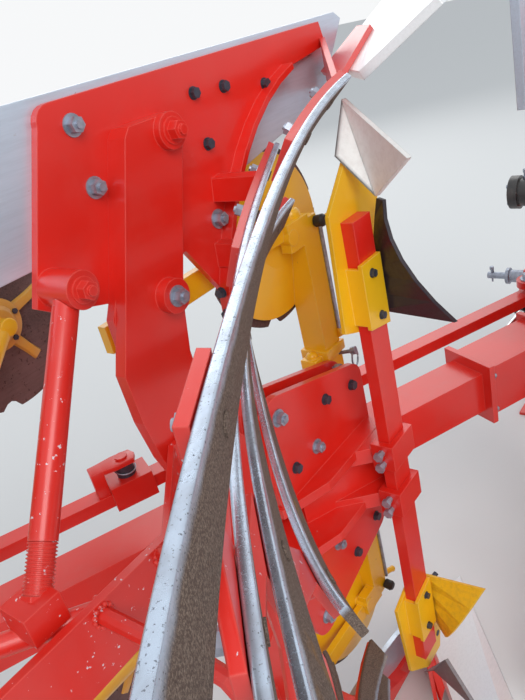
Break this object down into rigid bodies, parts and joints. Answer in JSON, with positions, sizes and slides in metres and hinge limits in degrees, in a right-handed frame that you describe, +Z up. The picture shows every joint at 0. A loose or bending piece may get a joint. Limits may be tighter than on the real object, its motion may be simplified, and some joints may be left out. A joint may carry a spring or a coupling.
{
  "type": "moldboard plough",
  "caption": "Mounted reversible moldboard plough with slatted moldboards in mirrored pairs on a slanted beam, disc coulters, skimmers, variable working width and a rear depth wheel.",
  "frame": {"origin": "on the ground under the middle of the bounding box", "axes": "+X the direction of travel, +Y left, +Z up; ground at z = 0"},
  "size_m": [3.7217, 1.9766, 1.72],
  "materials": {
    "red_paint": "semi-gloss, chipped and scuffed",
    "yellow_paint": "semi-gloss, scuffed",
    "white_paint": "semi-gloss",
    "black_paint": "satin",
    "worn_steel": "soil-scoured with rust film",
    "share_steel": "soil-scoured",
    "skimmer_steel": "matt, worn",
    "disc_steel": "rusty",
    "pin_steel": "zinc plated",
    "chromed_rod": "polished",
    "tyre_rubber": "matt"
  },
  "bodies": {
    "headstock": {"headstock": "red_paint", "link_pins": "pin_steel", "turnover_drive": "black_paint"},
    "stand": {"stand": "red_paint"},
    "carrier": {"carrier": "red_paint"},
    "beam": {"beam": "red_paint"},
    "width_barrel": {"width_barrel": "black_paint"},
    "width_piston": {"width_piston": "chromed_rod"},
    "station_1": {"bracket_1": "red_paint", "legs_1": "red_paint", "frogs_1": "red_paint", "landsides_1": "worn_steel", "shares_1": "share_steel", "slats_1": "worn_steel", "stays_1": "red_paint", "stalk_1": "red_paint", "skimmers_1": "yellow_paint", "skim_boards_1": "skimmer_steel", "coulter_arms_1": "yellow_paint"},
    "station_2": {"bracket_2": "red_paint", "legs_2": "red_paint", "frogs_2": "red_paint", "landsides_2": "worn_steel", "shares_2": "share_steel", "slats_2": "worn_steel", "stays_2": "red_paint", "stalk_2": "red_paint", "skimmers_2": "yellow_paint", "skim_boards_2": "skimmer_steel", "coulter_arms_2": "yellow_paint"},
    "station_3": {"bracket_3": "red_paint", "legs_3": "red_paint", "frogs_3": "red_paint", "landsides_3": "worn_steel", "shares_3": "share_steel", "slats_3": "worn_steel", "stays_3": "red_paint", "stalk_3": "red_paint", "skimmers_3": "yellow_paint", "skim_boards_3": "skimmer_steel", "coulter_arms_3": "yellow_paint"},
    "width_rod": {"width_rod": "red_paint"},
    "disc_top_1": {"disc_top_1": "disc_steel"},
    "disc_low_1": {"disc_low_1": "disc_steel"},
    "disc_top_2": {"disc_top_2": "disc_steel"},
    "disc_low_2": {"disc_low_2": "disc_steel"},
    "disc_top_3": {"disc_top_3": "disc_steel"},
    "disc_low_3": {"disc_low_3": "disc_steel"},
    "wheel_arm": {"wheel_arm": "red_paint"},
    "depth_wheel": {"wheel_rim": "white_paint", "wheel_tyre": "tyre_rubber"}
  },
  "joints": [
    {"name": "stand_swing", "type": "hinge", "parent": "headstock", "child": "stand", "pos_m": [1.68389, 0.15572, 0.56], "axis": [1, 0, 0], "range_deg": [0, 90]},
    {"name": "turnover", "type": "hinge", "parent": "headstock", "child": "carrier", "pos_m": [1.55889, -0.08928, 0.86], "axis": [1, 0, 0], "range_deg": [0, 180]},
    {"name": "working_width", "type": "hinge", "parent": "carrier", "child": "beam", "pos_m": [1.30289, -0.43806, 0.86], "axis": [0, 0, 1], "range_deg": [-6, 6]},
    {"name": "width_barrel_swing", "type": "hinge", "parent": "carrier", "child": "width_barrel", "pos_m": [1.32589, -0.02728, 0.826], "axis": [0, 0, 1], "range_deg": [-8, 8]},
    {"name": "width_piston_slide", "type": "slide", "parent": "width_barrel", "child": "width_piston", "axis": [-0.9998, 0.0211, 0], "range_m": [-0.06, 0.06]},
    {"name": "station_1_swing", "type": "hinge", "parent": "beam", "child": "station_1", "pos_m": [0.95685, -0.26928, 0.86], "axis": [0, 0, 1], "range_deg": [-6.5, 6.5]},
    {"name": "station_2_swing", "type": "hinge", "parent": "beam", "child": "station_2", "pos_m": [0.13446, 0.13183, 0.86], "axis": [0, 0, 1], "range_deg": [-6.5, 6.5]},
    {"name": "station_3_swing", "type": "hinge", "parent": "beam", "child": "station_3", "pos_m": [-0.68794, 0.53294, 0.86], "axis": [0, 0, 1], "range_deg": [-6.5, 6.5]},
    {"name": "width_rod_swing", "type": "hinge", "parent": "station_2", "child": "width_rod", "pos_m": [0.13225, 0.35542, 0.885], "axis": [0, 0, 1], "range_deg": [-6.5, 6.5]},
    {"name": "disc_top_1_spin", "type": "hinge", "parent": "station_1", "child": "disc_top_1", "pos_m": [0.99485, -0.19528, 1.356], "axis": [0, 1, 0], "continuous": true},
    {"name": "disc_low_1_spin", "type": "hinge", "parent": "station_1", "child": "disc_low_1", "pos_m": [0.99485, -0.19528, 0.364], "axis": [0, 1, 0], "continuous": true},
    {"name": "disc_top_2_spin", "type": "hinge", "parent": "station_2", "child": "disc_top_2", "pos_m": [0.17246, 0.20583, 1.356], "axis": [0, 1, 0], "continuous": true},
    {"name": "disc_low_2_spin", "type": "hinge", "parent": "station_2", "child": "disc_low_2", "pos_m": [0.17246, 0.20583, 0.364], "axis": [0, 1, 0], "continuous": true},
    {"name": "disc_top_3_spin", "type": "hinge", "parent": "station_3", "child": "disc_top_3", "pos_m": [-0.22494, 0.60694, 1.324], "axis": [0, 1, 0], "continuous": true},
    {"name": "disc_low_3_spin", "type": "hinge", "parent": "station_3", "child": "disc_low_3", "pos_m": [-0.22494, 0.60694, 0.396], "axis": [0, 1, 0], "continuous": true},
    {"name": "wheel_arm_swing", "type": "hinge", "parent": "beam", "child": "wheel_arm", "pos_m": [-1.09246, 0.75128, 0.86], "axis": [0, 1, 0], "range_deg": [0, 100]},
    {"name": "depth_wheel_spin", "type": "hinge", "parent": "wheel_arm", "child": "depth_wheel", "pos_m": [-1.56246, 0.89328, 0.3], "axis": [0, 1, 0], "continuous": true}
  ],
  "couplings": [
    {"joint": "width_barrel_swing", "follows": "working_width", "ratio": 0.9779},
    {"joint": "width_piston_slide", "follows": "working_width", "m_per_rad": 0.41074},
    {"joint": "station_1_swing", "follows": "working_width", "ratio": -1},
    {"joint": "station_2_swing", "follows": "working_width", "ratio": -1},
    {"joint": "station_3_swing", "follows": "working_width", "ratio": -1},
    {"joint": "width_rod_swing", "follows": "working_width", "ratio": 1}
  ]
}
